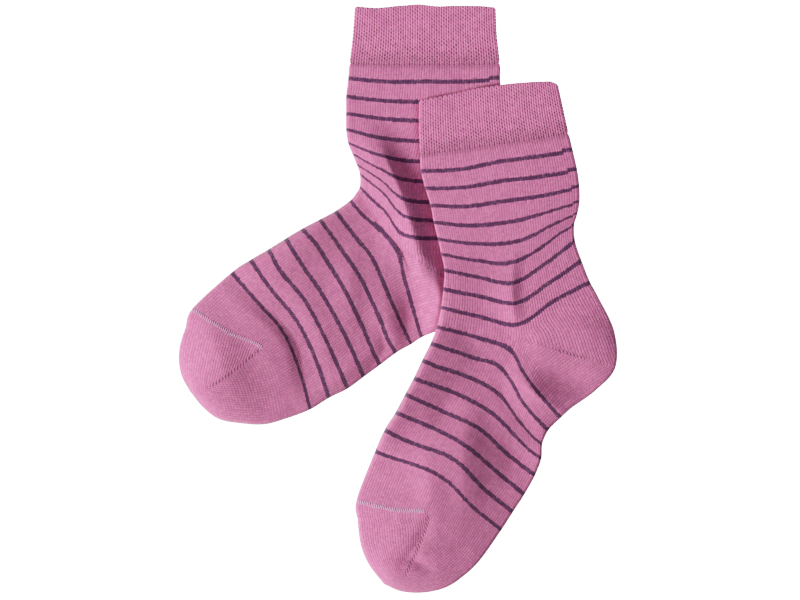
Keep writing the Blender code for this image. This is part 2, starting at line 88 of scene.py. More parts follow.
lowerLeg = [
    (-21, 138, -4.5, 138, 12.5, 139, 29.5, 138.5, 46, 137.5, 3),
    (-22, 124.5, -4.5, 124.5, 12.5, 125, 29.5, 125, 46.5, 125.5, 3.2),
    (-23.5, 111.5, -5.5, 111, 12.5, 111, 30, 111, 48, 111.5, 3.2),
    (-24, 104.5, -6, 103, 12, 103, 30, 103, 48, 104, 3.5),
    (-25, 96, -7, 94, 11.5, 93.5, 30, 93.5, 49, 94.5, 3.5),
    (-25, 88, -7.5, 85.5, 10, 84.5, 29.5, 84, 49.5, 85.5, 3.5),
    (-25, 80.5, -9, 76.5, 7.5, 75, 28.5, 75, 49.5, 77, 3.5),
    (-24, 74, -10, 68.5, 5.5, 65.5, 27, 66, 48.5, 68, 3.3),
    (-22, 69, -9.5, 62, 3.5, 56.5, 25.5, 56.5, 47.5, 59.5, 3.2),
    (-20, 64, -8, 56, 3.5, 47, 25, 47, 46.5, 51, 3.1),
    (-18.5, 59.5, -7, 50, 3, 39, 24.5, 38, 45.5, 42.5, 3.1),
    (-18.5, 53.5, -7.5, 42.5, 2.5, 30.5, 24, 29.5, 45.5, 33, 3.1),
    (-20.5, 50, -9, 37, 1.5, 23.5, 24, 22, 47, 27, 3.3),
]
lowerHeel = [
    (27, 16, 50.5, 11, 3.9),
    (24.5, 9, 44, -3.5, 4.1),
    (17.5, 6, 30, -11.5, 4.1),
]
lowerFoot = [
    (-20.5, 50, -9, 37, 1.5, 23.5, 11, 4.5, 16.5, -15.5, 3.7),
    (-23, 47, -11, 34.5, 0, 21.5, 5, 1.5, 10.5, -18, 4.1),
    (-30, 42, -20, 29, -10.5, 15, -2.5, -3, 6, -21, 5.2),
    (-37.5, 38, -27.5, 24, -18, 10, -9.5, -7.5, -1, -25, 6.3),
    (-46, 33.5, -35, 19.5, -25.5, 4.5, -17, -13, -9, -31, 7.4),
    (-53.5, 29, -44, 14, -34, -1, -24.5, -18.5, -16.5, -36.5, 8.5),
    (-61.5, 24, -51.5, 8.5, -41, -6, -32, -24, -24, -42, 9.5),
    (-70, 19, -59, 3.5, -47.5, -11, -39, -28.5, -33, -46.5, 10.1),
    (-79, 13, -66.5, -1.5, -54.5, -15.5, -47, -33.5, -42, -52, 10.8),
    (-97.5, -4, -81, -14.5, -64, -22.5, -56, -38.5, -52.5, -56, 11.5),
    (-101, -13.5, -86, -20, -72.5, -29.5, -66.5, -43.5, -63.5, -59, 11.8),
    (-103.5, -21.5, -91.5, -27.5, -81.5, -36.5, -77, -47, -75, -58.5, 11.8),
    (-104, -29.5, -96.5, -35, -90, -41.5, -87, -49, -85, -56.5, 11),
    (-102.5, -36.5, -98.5, -39.5, -96, -43.5, -94, -47, -92.5, -51, 8.6),
    (-99, -43, -99, -43, -99, -43, -99, -43, -99, -43, 3),
]
lowerFolds = [
    (-7.5, 69.5, 3.5, 43, 11, 12, 7, 14, 19, 0.4),
    (-20, 80, -12, 66, -9.5, 48, 3, 15, 22, 0.2),
    (-22, 43.5, -43.5, 30.5, -66.5, 15, 3.4, 15, 12, 0.2),
    (-7.5, 18, -5.5, -5, -3.5, -22, 1.8, 13, 12, 0.2),
    (5, 2, 6.5, -13, 8, -24, -1.6, 9.5, 9.5, 0.2),
    (17, 15.5, 23, 1, 20.5, -14, 5.4, 10, 14.5, 0.3),
    (-75.5, 7, -50.5, -16, -43.5, -41, -2.3, 13, 7.5, 0.4),
    (-43, -47, -25.5, -35.5, -12, -25, 1.6, 9.5, 8.5, 0.2),
    (-9, -13, -7, -24, -15, -34.5, -1, 5.5, 5.5, 0.5),
    (-93, -12, -84, -28, -76, -50, 2.4, 16, 19, 0.15),
    (-64, 6.5, -46, -12.5, -40.5, -34, -0.6, 10.5, 6.5, 0.35),
    (-6, 73.5, 6, 58.5, 18, 46, -0.9, 8, 9.5, 0.3),
    (-99.5, -38, -88.5, -53.5, -64, -60, 2.6, 21, 8, 0.2),
    (-7.5, 70, -2, 59, 2.5, 49, 0.8, 9, 8, 0.5),
    (6.5, 36, 10.5, 24, 14, 11, 1.2, 6, 9, 0.5),
    (-19, 22, -23, 8, -22, -9, 1.5, 20, 12, 0.3),
]
lowerSock = dict(
    name="lower_sock", leg=lowerLeg, heel=lowerHeel, foot=lowerFoot, folds=lowerFolds,
    mouth=[(0, 0), (0.14, -0.6), (0.3, 0.2), (0.45, 0.3), (0.58, -0.8), (0.7, -0.2), (0.9, 0.3),
           (1, 0)],
    drifts=[
        (-4, 38, 5, 1), (-16, 41.5, 5, -0.8), (1.5, 14, 5, -0.7), (-13.5, 21, 6, 0.6),
        (-5, -19, 5, -1), (-39.5, 27, 6, 0.8), (-56, 14, 6, -0.8), (-46.5, 3, 6, 0.6),
    ],
    goreBend=0.0, seamEnd=0.49, seamSlant=0.0065,
)

upperLeg = [
    (9.5, 93.5, 26.5, 96.5, 43, 100, 60, 102, 75.5, 101.5, 3),
    (9.5, 81, 27, 83.5, 44, 86, 61, 88.5, 78, 90, 3.1),
    (10, 68, 28, 70.5, 45.5, 73, 63, 75.5, 80.5, 78.5, 3.1),
    (10.5, 60.5, 29, 61.5, 47, 65, 65, 67.5, 82.5, 70, 3.3),
    (12.5, 52.5, 30.5, 53, 48.5, 56, 66.5, 58, 84.5, 61, 3.4),
    (15, 44.5, 32, 44, 49.5, 46.5, 67.5, 49, 85.5, 53, 3.5),
    (16.5, 36.5, 33.5, 35, 50.5, 36.5, 68, 40.5, 85.5, 46, 3.6),
    (18.5, 28.5, 35, 26.5, 51.5, 27, 68.5, 33, 84.5, 40.5, 3.8),
    (20, 21.5, 36.5, 18.5, 52.5, 17.5, 68, 25.5, 83, 35, 3.9),
    (21.5, 14, 38, 10.5, 54, 8, 69, 17, 83.5, 27.5, 4.1),
    (21, 5, 38.5, 1.5, 55.5, -1.5, 71, 8, 86.5, 18.5, 3.9),
    (20, -3.5, 38.5, -8, 56.5, -11.5, 73, -0.5, 90.5, 8.5, 3.8),
    (19, -8.5, 38, -13.5, 57, -18, 75, -6.5, 94, 2, 3.8),
]
upperHeel = [
    (80.5, -15, 102, -15, 4.3),
    (80.5, -24.5, 102.5, -32, 4.6),
    (75.5, -31.5, 93, -43, 4.3),
]
upperFoot = [
    (19, -8.5, 38, -13.5, 57, -18, 68.5, -35.5, 82, -51, 3.9),
    (18, -13, 37, -18, 54.5, -25.5, 64, -41.5, 76.5, -56, 4.1),
    (15, -20.5, 33, -26.5, 50, -34.5, 59, -49, 71, -61.5, 4.6),
    (11, -28.5, 29.5, -35, 46.5, -44, 56.5, -56.5, 68, -68, 5.4),
    (7, -37, 25.5, -43.5, 42.5, -52.5, 55, -63.5, 67.5, -75, 6.4),
    (3, -44.5, 20.5, -52.5, 37.5, -60.5, 50.5, -72, 64.5, -83, 7.2),
    (-1.5, -53, 16, -60.5, 32.5, -69.5, 46, -81, 59.5, -92, 8.1),
    (-6.5, -61, 10.5, -69, 27.5, -76.5, 40, -89, 54, -100.5, 8.7),
    (-11, -71, 6, -77, 22, -85, 34.5, -97.5, 48.5, -109, 9.2),
    (-20, -94.5, -2.5, -98.5, 15, -100, 26.5, -111.5, 39, -122.5, 9.6),
    (-19.5, -104.5, -4, -107, 12, -109.5, 22, -119.5, 31.5, -130, 9.8),
    (-18.5, -113.5, -6, -115, 6.5, -118.5, 15, -127, 22.5, -136, 9.7),
    (-16.5, -120.5, -7.5, -122, 1, -126, 7, -132, 12, -138.5, 9.1),
    (-13, -127, -8, -128.5, -3.5, -131.5, -1, -134.5, 1.5, -138, 7.3),
    (-7, -134.5, -7, -134.5, -7, -134.5, -7, -134.5, -7, -134.5, 3),
]
upperFolds = [
    (57, -36, 64.5, -44.5, 77.5, -52.5, 4.6, 17, 14, 0.6),
    (71, -37.5, 82, -37.5, 91, -44, -1.5, 10.5, 10, 0.3),
    (30.5, -53, 30, -74, 29.5, -97.5, 3, 14, 25, 0.2),
    (21, -10.5, 10, -31, -5, -60, 4.6, 21, 10, 0.3),
    (5, -39.5, -5, -57.5, -12.5, -75, 2.8, 13, 12, 0.3),
    (31, -12, 45, -24.5, 27.5, -51, -3, 23, 16, 0.1),
    (46.5, -60, 53.5, -74, 49.5, -89, -2.1, 14, 15, 0.1),
    (54.5, -45.5, 68.5, -63, 66.5, -78.5, 1.7, 10, 7.5, 0.5),
    (90, -6, 97.5, -18, 97.5, -30, 1.1, 7, 20, 0.2),
    (54.5, 19, 53.5, 4, 55.5, -13, 1.9, 6, 15, 0.6),
    (65, -16, 81, -13, 96, -14, 0.8, 7, 12, 0.4),
    (86, -10, 90, -19, 88, -31, 0.8, 14, 16, 0.2),
    (14, -101.5, 10, -113, 1.5, -125, -1, 6, 4.5, 0.5),
    (-2, -122.5, 5.5, -122, 14, -126.5, -1.3, 5.5, 5, 0.4),
    (55, 20, 67.5, 32.5, 80.5, 41.5, 0.5, 7, 9.5, 0.3),
    (43, -19, 46.5, -31, 50.5, -45, -1.3, 12, 8, 0.4),
    (12, -77.5, 15, -91, 11.5, -104, 1.1, 10.5, 10.5, 0.25),
    (-19, -100, -17, -121, -3, -135.5, 1.5, 19, 8, 0.2),
    (90, -6, 97.5, -18, 97.5, -30, -0.4, 7, 20, 0.2),
    (24, -39, 22.5, -51, 18.5, -62, -1.2, 14, 12, 0.2),
    (14, -66, 13.5, -80, 12, -95, 1, 14, 18, 0.2),
    (2, -99, 0, -111, -1, -123, 1, 16, 13, 0.2),
]
upperSock = dict(
    name="upper_sock", leg=upperLeg, heel=upperHeel, foot=upperFoot, folds=upperFolds,
    mouth=[(0, 0), (0.2, 0.3), (0.37, 0.7), (0.5, 0.2), (0.75, 0.1), (0.95, 0.8), (1, -0.5)],
    drifts=[
        (75, 33, 6, 1.1), (62, 27, 6, -0.9), (57.5, -32, 4.5, -1.7), (46, -30.5, 5, 1.1),
        (51.5, -22.5, 4, 0.2), (62.5, -64, 6, -1.2), (62, -71, 5, -0.6), (-1.5, -71, 7, -1),
        (19, -71.5, 6, 0.6), (20, -32, 6, -0.6),
    ],
    goreBend=0.0045, seamEnd=0.45, seamSlant=0.001,
)

# Where the socks lie on each other: the back and sole of the lower one, kept a little outside
# them, the distances over which the upper one comes down to the table, and the heel's swell.
contact = dict(
    outline=[(51.5, 140), (54, 20), (53, 2), (43.5, -10.5), (12, -20)],
    underFall=30.0, crownFall=75.0, corner=1.2,
    swellPlace=(22, 2), swellSize=12.0, swellHeight=3.8,
)


def splinePoint(a, b, c, d, t):
    # Catmull-Rom between b and c
    return b + 0.5 * t * (c - a + t * (2 * a - 5 * b + 4 * c - d + t * (3 * (b - c) + d - a)))


def curvesThrough(knots, along):
    # Smooth curves through knots[curve, knot, part], at the fractional knots along[curve, point],
    # with the end knots mirrored outwards.
    before, after = 2 * knots[:, :1] - knots[:, 1:2], 2 * knots[:, -1:] - knots[:, -2:-1]
    padded = np.concatenate([before, knots, after], axis=1)
    low = np.clip(np.floor(along).astype(int), 0, knots.shape[1] - 2)
    picked = [np.take_along_axis(padded, (low + shift)[..., None], axis=1) for shift in range(4)]
    return splinePoint(*picked, (along - low)[..., None])


def curveThrough(knots, along):
    return curvesThrough(knots[None], along[None])[0]


def splineAt(waves, share):
    # smooth curve through pairs of share and value, at any shares from 0 to 1
    count = fabric["mouthKnots"]
    knots = np.interp(np.linspace(0, 1, count), waves[:, 0], waves[:, 1])
    return curveThrough(knots[:, None], np.clip(share, 0, 1) * (count - 1))[:, 0]


def ease(value):
    # 0 up to 0, then a smooth rise to 1 at 1
    value = np.clip(value, 0, 1)
    return value * value * (3 - 2 * value)


def easeBetween(value, low, high):
    return ease((value - low) / (high - low))


def length(vectors):
    return np.linalg.norm(vectors, axis=-1)


def unit(vectors):
    return vectors / np.maximum(length(vectors), 1e-9)[..., None]


def measured(places):
    # length of each polyline of places, from its start to each of them
    steps = length(np.diff(places, axis=-2))
    return np.concatenate([np.zeros_like(steps[..., :1]), np.cumsum(steps, axis=-1)], axis=-1)


def crossings(sock, row):
    # The five places of each round, and its loft at the front and at the back. The front has no
    # heel rows: it stands still while the heel pocket fans out.
    leg, heel, foot = (np.array(sock[part]) for part in ("leg", "heel", "foot"))
    heelRow = fabric["heelRow"]
    frontRow = np.where(row < heelRow, row, np.maximum(row - fabric["heelRows"], heelRow))
    front = curveThrough(np.concatenate([leg, foot[1:]]), frontRow)
    back = curveThrough(np.concatenate([leg[:, 6:], heel, foot[:, 6:]]), row)
    places = np.concatenate([front[:, :6], back[:, :4]], axis=1).reshape(-1, 5, 2)
    return places, front[:, 10], back[:, 4]


def roundPoints(sock, row, share):
    # Plan points, widths and lofts of the rounds, at the shares 0 to 1 of their way to the back.
    # Near the heel corner a round is two curves that meet in a corner on the side line.
    places, loftFront, loftBack = crossings(sock, row)
    share = np.broadcast_to(share, (len(row), share.shape[-1]))
    smooth = curvesThrough(places, 4 * share)
    frontHalf = curvesThrough(places[:, :3], np.minimum(4 * share, 2))
    backHalf = curvesThrough(places[:, 2:], np.maximum(4 * share - 2, 0))
    cornered = np.where((share < 0.5)[..., None], frontHalf, backHalf)
    away = np.maximum(fabric["heelRow"] - row, row - fabric["heelRow"] - fabric["heelRows"])
    sharp = ease(1 - away)[:, None, None]
    plan = smooth + (cornered - smooth) * sharp
    even = np.linspace(0, 4, fabric["widthSamples"])
    fine = curvesThrough(places, np.broadcast_to(even, (len(row), len(even))))
    width = measured(fine)[:, -1:]
    loft = loftFront[:, None] + (loftBack - loftFront)[:, None] * ease(4 * share - 2)
    return plan, width, loft


def foldHeight(fold, x, y):
    # A ridge or trough: its height falls away from its crest over a reach that differs on its two
    # sides, and eases off towards both ends.
    height, reachLeft, reachRight, sharpness = fold[6:]
    crest = curveThrough(np.array(fold[:6]).reshape(3, 2), np.linspace(0, 2, fabric["crestPoints"]))
    run = np.diff(crest, axis=0)
    fromX = x[..., None] - crest[:-1, 0]
    fromY = y[..., None] - crest[:-1, 1]
    part = np.clip((fromX * run[:, 0] + fromY * run[:, 1]) / (run ** 2).sum(axis=1), 0, 1)
    aside = np.hypot(fromX - part * run[:, 0], fromY - part * run[:, 1])
    nearest = aside.argmin(axis=-1)[..., None]
    part, fromX, fromY, near = (np.take_along_axis(values, nearest, -1)[..., 0]
                                for values in (part, fromX, fromY, aside))
    along = unit(run)[nearest[..., 0]]
    leftness = (along[..., 0] * fromY - along[..., 1] * fromX) / np.maximum(near, 1e-6)
    reach = (reachLeft + reachRight) / 2 + np.clip(leftness, -1, 1) * (reachLeft - reachRight) / 2
    away = np.minimum(near / reach, 1)
    across = (1 - away) ** 2 * (1 + 2 * away * (1 - sharpness))
    lengthwise = np.sin(np.pi * (nearest[..., 0] + part) / len(run))
    return height * across * (fabric["foldEnd"] + (1 - fabric["foldEnd"]) * lengthwise)


def propShare(x, y, fall):
    # 1 over the hidden part of the lower sock, easing to 0 at the distance fall outside it
    corners = np.array(contact["outline"])
    total = np.zeros_like(x)
    for start, end in zip(corners[:-1], corners[1:]):
        step = unit(end - start)
        outside = (y - start[1]) * step[0] - (x - start[0]) * step[1]
        total += np.exp(outside / contact["corner"])
    outside = np.clip(contact["corner"] * np.log(total) / fall, 0, 1)
    return 0.5 + 0.5 * np.cos(np.pi * outside)


def propHeight(x, y, fall):
    # height of the face along which the socks lie on each other, with a round swell at the heel
    away = (x - contact["swellPlace"][0]) ** 2 + (y - contact["swellPlace"][1]) ** 2
    swell = contact["swellHeight"] * np.exp(-away / (2 * contact["swellSize"] ** 2))
    return (fabric["flatDepth"] + fabric["layerGap"] / 2 + swell) * propShare(x, y, fall)


def besideUpperSock(x, y):
    # distance outside the upper sock's front edge and mouth, 0 under it
    rounds = np.array(upperSock["leg"] + upperSock["foot"][1:])
    leftOfIt = np.interp(-y, -rounds[:, 1], rounds[:, 0]) - x
    mouth = rounds[0, :10].reshape(5, 2)
    aboveIt = y - np.interp(x, mouth[:, 0], mouth[:, 1])
    return np.maximum(np.maximum(leftOfIt, aboveIt), 0)


def facesOf(sock, x, y, depth):
    # Heights of the underside and of the top. The lower sock lies on the table and is pressed
    # down, by a soft minimum, by the upper one that rides over it.
    gap, blend = fabric["layerGap"], fabric["blend"]
    if sock is lowerSock:
        limit = propHeight(x, y, contact["underFall"]) - gap / 2
        limit = limit + fabric["pressSlope"] * besideUpperSock(x, y)
        return np.zeros_like(x), -blend * np.logaddexp(-depth / blend, -limit / blend)
    under = contact["underFall"]
    underside = propHeight(x, y, under) + gap / 2 * propShare(x, y, under)
    return underside, propHeight(x, y, contact["crownFall"]) + gap / 2 + depth


def quarterRound(distance, reach):
    # 0 at the edge of the tube, 1 from reach inwards
    return np.sqrt(1 - (1 - np.clip(distance / reach, 0, 1)) ** 2)


waver = dict(height=0.03, shortest=7.0, longest=26.0, waves=14, seed=8)


def softWaver(x, y):
    # slight unevenness of a fabric laid by hand: a sum of long low waves in all directions
    random = np.random.default_rng(waver["seed"])
    total = np.zeros_like(x)
    for span in np.geomspace(waver["shortest"], waver["longest"], waver["waves"]):
        turn, phase = random.uniform(0, 2 * np.pi, 2)
        phases = 2 * np.pi * (x * np.cos(turn) + y * np.sin(turn)) / span + phase
        total += np.sin(phases) * span / waver["longest"]
    return waver["height"] * total


def clothFace(sock, row, share, over, inset=0.0):
    # One face of the wall: inset 0 is the outside of the sock, a wall's thickness its inside.
    # Height = loft times a crown across the tube, plus the folds, with quarter rounds at the edges.
    flat = fabric["flatDepth"]
    plan, width, loft = roundPoints(sock, row, share)
    fromEdge = np.minimum(share, 1 - share) * width
    if inset > 0:
        pull = inset / np.maximum(width, 2 * inset + 1)
        plan, _, loft = roundPoints(sock, row, share + pull * (1 - 2 * share))
    x, y = plan[..., 0], plan[..., 1]
    shoulder = flat + fabric["shoulderShare"] * (loft - flat)
    crown = 1 - np.abs(2 * share - 1) ** fabric["fullness"]
    depth = shoulder + (loft - shoulder) * crown
    unfolded = quarterRound(fromEdge, fabric["foldFade"])
    for fold in sock["folds"]:
        depth = depth + foldHeight(fold, x, y) * unfolded
    depth = depth + softWaver(x, y) * unfolded
    least, softness = fabric["leastDepth"], fabric["depthBlend"]
    depth = least + softness * np.logaddexp(0, (depth - least) / softness)
    underside, top = facesOf(sock, x, y, depth)
    edge = underside + fabric["edgeShare"] * flat
    upper = edge + (top - inset - edge) * quarterRound(fromEdge, fabric["topRoll"] * shoulder)
    reach = fabric["underRoll"] * fabric["edgeShare"] * flat
    lower = edge - (edge - underside - inset) * quarterRound(fromEdge, reach)
    return np.stack([x, y, np.where(over, upper, lower)], axis=-1)


def evenRows(sock, first, last, step):
    # rows spaced so that the round moves by about a step at its fastest place
    count = math.ceil(fabric["rowSamples"] * (last - first)) + 1
    fine = np.linspace(first, last, count)
    moved = length(np.diff(crossings(sock, fine)[0], axis=0)).max(axis=1)
    along = np.concatenate([[0], np.cumsum(moved)])
    return np.interp(np.linspace(0, along[-1], math.ceil(along[-1] / step) + 1), along, fine)


def outwards(points):
    # unit normals of a grid of rows and columns that closes round the tube
    around = np.roll(points, -1, axis=1) - np.roll(points, 1, axis=1)
    return unit(np.cross(np.gradient(points, axis=0), around))


def courseAt(row):
    # course number of a row, straight between the pairs of row and course
    return np.interp(row, *np.transpose(fabric["courses"]))


stripes = dict(
    lastRow=24.5, lastOne=17.5,  # no stripe beyond this row, and this number
    gap=9.3,  # usual distance from one stripe to the next
    narrowestGap=4.0, widestGap=30.0,  # limits of the distance worked out on the surface
)


def stripeNumber(sock, row, over, points):
    # Whole at the middle of each coloured stripe, and raised around each drift by a bell curve.
    number, last = courseAt(row)[:, None] / fabric["stripeEvery"] + 1, stripes["lastOne"]
    for x, y, reach, shift in sock["drifts"]:
        away = (points[..., 0] - x) ** 2 + (points[..., 1] - y) ** 2
        number = number + shift / stripes["gap"] * np.exp(-away / (2 * reach ** 2)) * over
    return np.where(row[:, None] > stripes["lastRow"], last, np.minimum(number, last))


def stripeGap(number, points):
    # millimetres over which the number grows by one: 1 / slope of the number on the surface
    down, across = np.gradient(points, axis=0), np.gradient(points, axis=1)
    numberDown, numberAcross = np.gradient(number)
    dd, cc, dc = ((u * v).sum(axis=-1) for u, v in ((down, down), (across, across), (down, across)))
    slope = numberDown ** 2 * cc - 2 * numberDown * numberAcross * dc + numberAcross ** 2 * dd
    area = np.maximum(dd * cc - dc ** 2, 1e-9)
    steepness = np.sqrt(np.maximum(slope / area, 0))
    return 1 / np.clip(steepness, 1 / stripes["widestGap"], 1 / stripes["narrowestGap"])


def heelFan(sock):
    # angle between the two straight sides of the heel pocket
    sides = np.array([sock["leg"][-1][4:10], sock["foot"][0][4:10]])
    above, below = np.arctan2(sides[:, 5] - sides[:, 1], sides[:, 4] - sides[:, 0])
    return above - below


def stitchPlaces(sock, row, turn, share):
    # Wale and course numbers on a grid. In the heel pocket the courses run parallel to its two
    # straight sides and meet in a mitre on the gore line, and the wales cross them.
    half = fabric["needles"] / 2
    into = ((row - fabric["heelRow"]) / fabric["heelRows"])[:, None]
    inHeel = (into >= 0) & (into <= 1)
    places = crossings(sock, row)[0]
    radius = length(places[:, 4] - places[:, 2])[:, None]
    ends = radius[inHeel][[0, -1]] if inHeel.any() else radius[:2, 0]
    angle = heelFan(sock) * (0.5 - np.abs(into - 0.5))
    out = np.clip(2 * share - 1, 0, 1)
    scale = radius / (ends[0] + (ends[1] - ends[0]) * into)
    mitred = half / 2 * (1 + out * scale * np.cos(angle))
    rise = out * radius * np.sin(angle) / fabric["courseLength"]
    pocket = inHeel & (share >= 0.5)
    wale = np.where(pocket, mitred, half * share)
    course = courseAt(row)[:, None] + np.where(pocket, rise, 0)
    return np.where(turn <= 1, wale, 2 * half - wale), course


def tubeGrid(sock, row, columns, inset=0.0, even=False):
    # points of one face of the wall, with the wale and course at each
    turn = np.arange(columns + 1) * 2 / columns
    half = np.where(turn <= 1, turn, 2 - turn)
    # columns stand half evenly and half by cosine, closer near the edges, or all evenly
    share = half if even else 0.5 * half + 0.25 * (1 - np.cos(np.pi * half))
    over = (turn > 0) & (turn < 1)
    points = clothFace(sock, row, share[:-1], over[:-1], inset)
    wale, course = stitchPlaces(sock, row, turn, share)
    return dict(points=points, wale=wale, course=course, row=row, turn=turn, share=share[:-1],
                over=over[:-1])


def gridFaces(ids):
    # Quads over a grid of vertex numbers that closes round the tube, with each corner's place in
    # the grid. A quad with one side shrunk to a point is a triangle, with two it is left out.
    rows, columns = ids.shape
    r, c = np.meshgrid(np.arange(rows - 1), np.arange(columns), indexing="ij")
    cornerRow = np.stack([r, r + 1, r + 1, r], axis=-1).reshape(-1, 4)
    cornerColumn = np.stack([c, c, c + 1, c + 1], axis=-1).reshape(-1, 4)
    vertex = ids[cornerRow, cornerColumn % columns]
    shrunk = vertex == np.roll(vertex, -1, axis=1)
    times = shrunk.sum(axis=1)
    shapes = [(times == 0, [0, 1, 2, 3])]
    for side, kept in enumerate(([1, 2, 3], [0, 2, 3], [0, 1, 3], [0, 1, 2])):
        shapes.append(((times == 1) & shrunk[:, side], kept))
    return [[table[chosen][:, kept] for table in (vertex, cornerRow, cornerColumn)]
            for chosen, kept in shapes]


def addObject(name, data, place=(0, 0, 0)):
    thing = bpy.data.objects.new(name, data)
    thing.location = place
    bpy.context.scene.collection.objects.link(thing)
    return thing


def addPiece(name, points, faces, material):
    # a mesh object with its place in its mesh, in metres
    mesh = bpy.data.meshes.new(name)
    mesh.from_pydata(((points - np.array(fabric["pairMiddle"])) * mm).tolist(), [], faces)
    mesh.materials.append(material)
    mesh.shade_smooth()
    piece = addObject(name, mesh)
    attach(piece, "root")
    return piece


def closedShell(name, outer, inner, material, heelRows=None, tipPoints=None):
    # One closed wall from a grid of its outside and one of its inside, which runs back. The ends
    # are joined, or at the toe each is closed by a point. The front half of the tube stands still
    # in the heel rows, so its columns share the points of the first of them.
    grids, columns = (outer, inner), outer["points"].shape[1]
    points = np.concatenate([grid["points"].reshape(-1, 3) for grid in grids])
    numbers = np.arange(len(points)).reshape(-1, columns)
    ids = numbers[:len(outer["row"])], numbers[len(outer["row"]):]
    if heelRows:
        for grid, number in zip(grids, ids):
            span = np.flatnonzero((grid["row"] >= heelRows[0]) & (grid["row"] <= heelRows[1]))
            front = np.flatnonzero(grid["share"] <= 0.5 + 1e-9)
            number[np.ix_(span, front)] = number[span[0], front]
    order = [(ids[0], outer, slice(None)), (ids[1][::-1], inner, slice(None, None, -1))]
    if tipPoints is not None:
        poles = [np.full((1, columns), len(points) + i) for i in (0, 1)]
        order[1:1] = [(poles[0], outer, slice(-1, None)), (poles[1], inner, slice(-1, None))]
        points = np.concatenate([points, tipPoints])
    order.append((ids[0][:1], outer, slice(0, 1)))
    table = np.concatenate([number for number, _, _ in order])
    stitches = np.concatenate([np.stack([grid["wale"][rows], grid["course"][rows]], axis=-1)
                               for _, grid, rows in order])
    blocks = gridFaces(table)
    used = np.unique(np.concatenate([block[0].ravel() for block in blocks]))
    renumber = np.zeros(len(points), int)
    renumber[used] = np.arange(len(used))
    faces = [face for block in blocks for face in renumber[block[0]].tolist()]
    piece = addPiece(name, points[used], faces, material)
    mesh = piece.data
    uv = np.concatenate([stitches[row, column].ravel() for _, row, column in blocks])
    mesh.uv_layers.new(name="stitches").data.foreach_set("uv", uv)
    for key, values in outer.get("values", {}).items():
        parts = [values.ravel(), inner["values"][key].ravel(), values[-1, -1:], values[-1, -1:]]
        layer = mesh.attributes.new(key, "FLOAT", "POINT")
        layer.data.foreach_set("value", np.concatenate(parts)[used].astype(np.float32))
    mesh.set_sharp_from_angle(angle=math.radians(fabric["sharpFrom"]))
    print(name, len(faces), "faces")
    return piece


class Value:
    # a number or colour in a material's nodes, so that formulas read as formulas
    def __init__(self, make, socket):
        self.make, self.socket = make, socket

    def calc(self, operation, *others):
        return self.make.calc(operation, self, *others)

    def __add__(self, other):
        return self.calc("ADD", other)

    def __sub__(self, other):
        return self.calc("SUBTRACT", other)

    def __rsub__(self, other):
        return self.make.calc("SUBTRACT", other, self)

    def __mul__(self, other):
        return self.calc("MULTIPLY", other)

    def __truediv__(self, other):
        return self.calc("DIVIDE", other)

    def __abs__(self):
        return self.calc("ABSOLUTE")


class Maker:
    # a new material, with short ways to add nodes; inputs are numbers, colours or values
    def __init__(self, name):
        self.material = bpy.data.materials.new(name)
        self.material.use_nodes = True
        self.tree = self.material.node_tree

    def feed(self, node, inputs):
        for key, value in inputs.items():
            if isinstance(value, Value):
                self.tree.links.new(value.socket, node.inputs[key])
            else:
                node.inputs[key].default_value = value

    def add(self, kind, inputs={}, output=0, **settings):
        node = self.tree.nodes.new(kind)
        for key, value in settings.items():
            setattr(node, key, value)
        self.feed(node, inputs)
        return Value(self, node.outputs[output])

    def calc(self, operation, *values):
        return self.add("ShaderNodeMath", dict(enumerate(values)), operation=operation)

    def ramp(self, value, low, high, lowOut=0.0, highOut=1.0):
        inputs = dict(enumerate((value, low, high, lowOut, highOut)))
        return self.add("ShaderNodeMapRange", inputs, interpolation_type="SMOOTHSTEP")

    def mix(self, share, first, second):
        inputs = dict(Factor=share, A=first, B=second)
        return self.add("ShaderNodeMix", inputs, "Result", data_type="RGBA")

    def attribute(self, name):
        return self.add("ShaderNodeAttribute", output="Fac", attribute_name=name)

    def noise(self, scale, detail=2.0):
        place = self.add("ShaderNodeTexCoord", output="Object")
        return self.add("ShaderNodeTexNoise", dict(Vector=place, Scale=scale, Detail=detail), "Fac")

    def dice(self, first, second):
        # a throw for each pair of whole numbers, from -0.5 to 0.5
        pair = dict(Vector=self.add("ShaderNodeCombineXYZ", {0: first, 1: second}))
        return self.add("ShaderNodeTexWhiteNoise", pair, "Value", noise_dimensions="2D") - 0.5

    def surface(self, inputs):
        self.feed(self.tree.nodes["Principled BSDF"], inputs)
        return self.material


def hump(value):
    # parabola: 0 at 0 and at 1, and 1 halfway
    centred = value * 2 - 1
    return 1 - centred * centred


yarn = dict(
    pink=(0.672, 0.178, 0.346, 1), plum=(0.078, 0.018, 0.070, 1), plumCrownLight=(0.135, 0.042, 0.112, 1),
    hueWander=0.006, depthWander=-0.05, heatherScale=420.0,  # how the dye differs along the yarn
    gapPaintedShade=0.72, crownPaintedLight=0.448,  # painted shade in the gaps between stitches, and the painted light that their crowns add
    waleStreak=0.06, stitchSpeckle=0.24, blotch=0.04, blotchScale=90.0,  # uneven shades
    kindPaintedShade=dict(striped=1.0, plain=0.92, cuff=0.94),  # painted shade over each kind of knitting: the toe and the cuff darker overall
    shadeSteps=dict(  # from one course to another, and the shades at the two: painted shade in the groove where the cuff is sewn on and over the foot, and the cuff darker towards its end
        striped=[(-8.0, -5.5, 0.76, 1.0), (84.0, 104.0, 1.0, 0.87)], plain=[],
        cuff=[(11.0, 15.0, 1.0, 0.76)],
    ),
    ridge=0.65,  # each wale is a single ridge by this much, and else a pair of legs
    slant=0.6, loopLow=0.45,  # slant of the loops' legs in courses, height between two courses
    relief=0.00031, bump=0.8, fluff=0.5, fluffScale=2600.0,  # height of stitches, loose fibres
    roughness=0.85, gloss=0.15, sheen=0.16, sheenRoughness=0.6, sheenTint=(1.0, 0.95, 0.98, 1),
)


